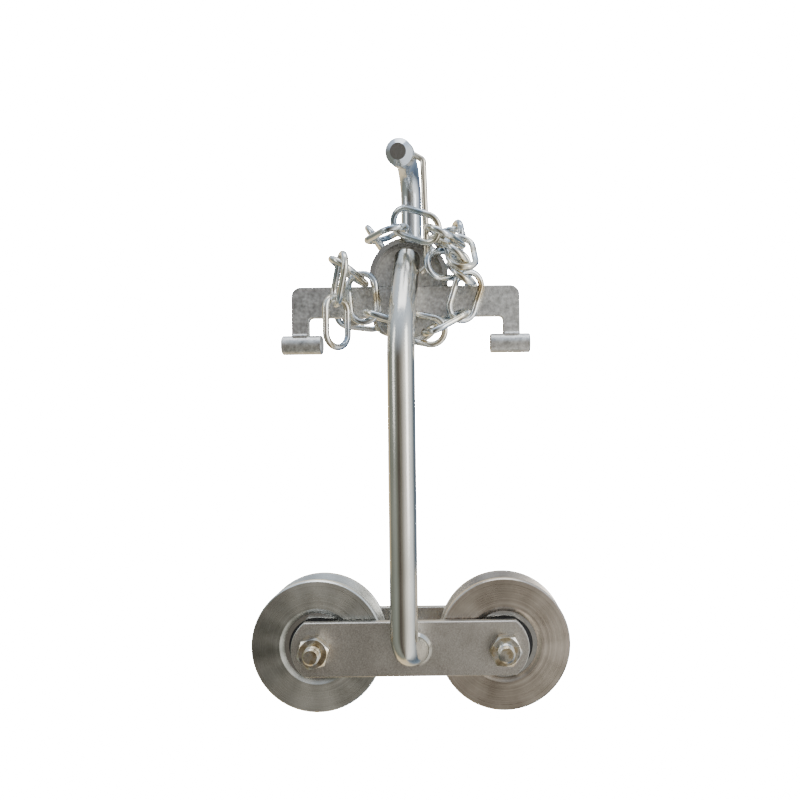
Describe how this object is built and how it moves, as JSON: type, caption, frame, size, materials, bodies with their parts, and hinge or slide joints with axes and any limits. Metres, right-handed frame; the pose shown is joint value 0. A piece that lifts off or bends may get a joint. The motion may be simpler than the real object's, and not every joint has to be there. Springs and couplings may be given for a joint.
{
  "type": "zip line trolley",
  "caption": "Cableway trolley: two grooved ball-bearing wheels between side plates, a bent round arm, a T-ended cross bar, a hook and its wound chain.",
  "frame": {"origin": "on the centre line of a 10 mm cable, where it crosses the mid-plane between the two wheels; the wheels' axles are 32 mm below it", "axes": "+X along the cable, +Z from the wheels towards the hook, the arm stands in front at -Y. The part stands on its wheels as pictured; at work it rides the other way up, with -Z pointing up and the wheels on top of the cable"},
  "size_m": [0.193, 0.0838, 0.3421],
  "materials": {
    "turned_steel": "turned faces with fine concentric tool marks",
    "seal_rubber": "matt black",
    "bearing_steel": "ground",
    "chain_zinc": "bright zinc plate",
    "galvanised_plate": "mottled zinc plate on sheared steel",
    "satin_plate": "satin zinc plate, finely speckled",
    "bright_zinc_rod": "bright zinc plate on drawn bar",
    "zinc_fastener": "bright zinc plate"
  },
  "bodies": {
    "frame": {"arm_end_weld": "bright_zinc_rod", "arm_rod": "bright_zinc_rod", "arm_tail_weld": "bright_zinc_rod", "axle_washers": "zinc_fastener", "chain_link_02": "chain_zinc", "chain_link_03": "chain_zinc", "chain_link_04": "chain_zinc", "chain_link_05": "chain_zinc", "chain_link_06": "chain_zinc", "chain_link_07": "chain_zinc", "chain_link_08": "chain_zinc", "chain_link_09": "chain_zinc", "chain_link_10": "chain_zinc", "chain_link_11": "chain_zinc", "chain_link_12": "chain_zinc", "chain_link_13": "chain_zinc", "chain_link_14": "chain_zinc", "chain_link_15": "chain_zinc", "chain_link_16": "chain_zinc", "chain_link_17": "chain_zinc", "chain_link_18": "chain_zinc", "chain_link_19": "chain_zinc", "chain_link_20": "chain_zinc", "chain_link_21": "chain_zinc", "chain_link_22": "chain_zinc", "chain_link_23": "chain_zinc", "chain_stud": "galvanised_plate", "cross_bar": "galvanised_plate", "foot_welds": "galvanised_plate", "front_side_plate": "satin_plate", "hook_button": "bright_zinc_rod", "hook_shank": "bright_zinc_rod", "hub_collar": "bright_zinc_rod", "hub_lower_rim": "bright_zinc_rod", "hub_plate": "galvanised_plate", "keeper_wire": "bright_zinc_rod", "left_axle_bolt": "zinc_fastener", "left_axle_nut": "zinc_fastener", "left_axle_sleeve": "zinc_fastener", "left_axle_spacers": "zinc_fastener", "left_bearing_inner_races": "bearing_steel", "left_spacer_foot": "galvanised_plate", "rear_side_plate": "satin_plate", "right_axle_bolt": "zinc_fastener", "right_axle_nut": "zinc_fastener", "right_axle_sleeve": "zinc_fastener", "right_axle_spacers": "zinc_fastener", "right_bearing_inner_races": "bearing_steel", "right_spacer_foot": "galvanised_plate", "shank_welds": "galvanised_plate"},
    "left_wheel_body": {"left_wheel": "turned_steel", "left_bearing_outer_races": "bearing_steel", "left_bearing_balls": "bearing_steel", "left_bearing_seals": "seal_rubber"},
    "right_wheel_body": {"right_wheel": "turned_steel", "right_bearing_outer_races": "bearing_steel", "right_bearing_balls": "bearing_steel", "right_bearing_seals": "seal_rubber"},
    "chain_tail": {"chain_link_01": "chain_zinc"}
  },
  "joints": [
    {"name": "left_wheel_spin", "type": "hinge", "parent": "frame", "child": "left_wheel_body", "pos_m": [-0.0565, 0, -0.032], "axis": [0, 1, 0], "continuous": true},
    {"name": "right_wheel_spin", "type": "hinge", "parent": "frame", "child": "right_wheel_body", "pos_m": [0.0565, 0, -0.032], "axis": [0, 1, 0], "continuous": true},
    {"name": "chain_tail_swing", "type": "hinge", "parent": "frame", "child": "chain_tail", "pos_m": [-0.0407, -0.02415, 0.17299], "axis": [-0.3868, 0.9222, 0], "range_deg": [-10, 40]}
  ]
}
